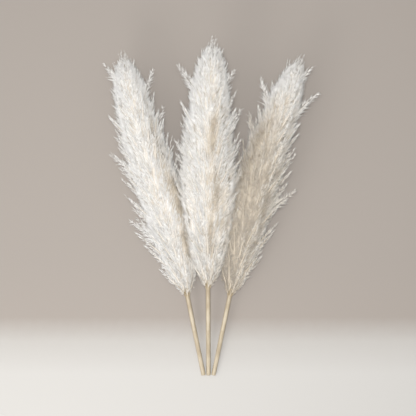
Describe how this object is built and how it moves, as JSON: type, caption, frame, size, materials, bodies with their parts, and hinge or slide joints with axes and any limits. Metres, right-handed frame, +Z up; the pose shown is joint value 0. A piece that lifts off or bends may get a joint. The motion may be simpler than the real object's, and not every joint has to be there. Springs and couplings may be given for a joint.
{
  "type": "bundle of pampas grass",
  "caption": "Dried feathery cream-white grass plumes on bare straw-coloured stalks, fanned out from their cut ends and lying on a surface.",
  "frame": {"origin": "under the middle of the bundle's box, on the surface that it lies on", "axes": "+Y along the bundle from the cut stalk ends to the plume tips, +X to the right seen from above, +Z up from the surface"},
  "size_m": [0.295, 0.4496, 0.0951],
  "materials": {
    "stalk": "satin",
    "plume": "matte"
  },
  "bodies": {
    "root": {"stalk_left": "stalk", "stalk_middle": "stalk", "stalk_right": "stalk", "plume_left": "plume", "plume_middle": "plume", "plume_right": "plume"}
  },
  "joints": []
}
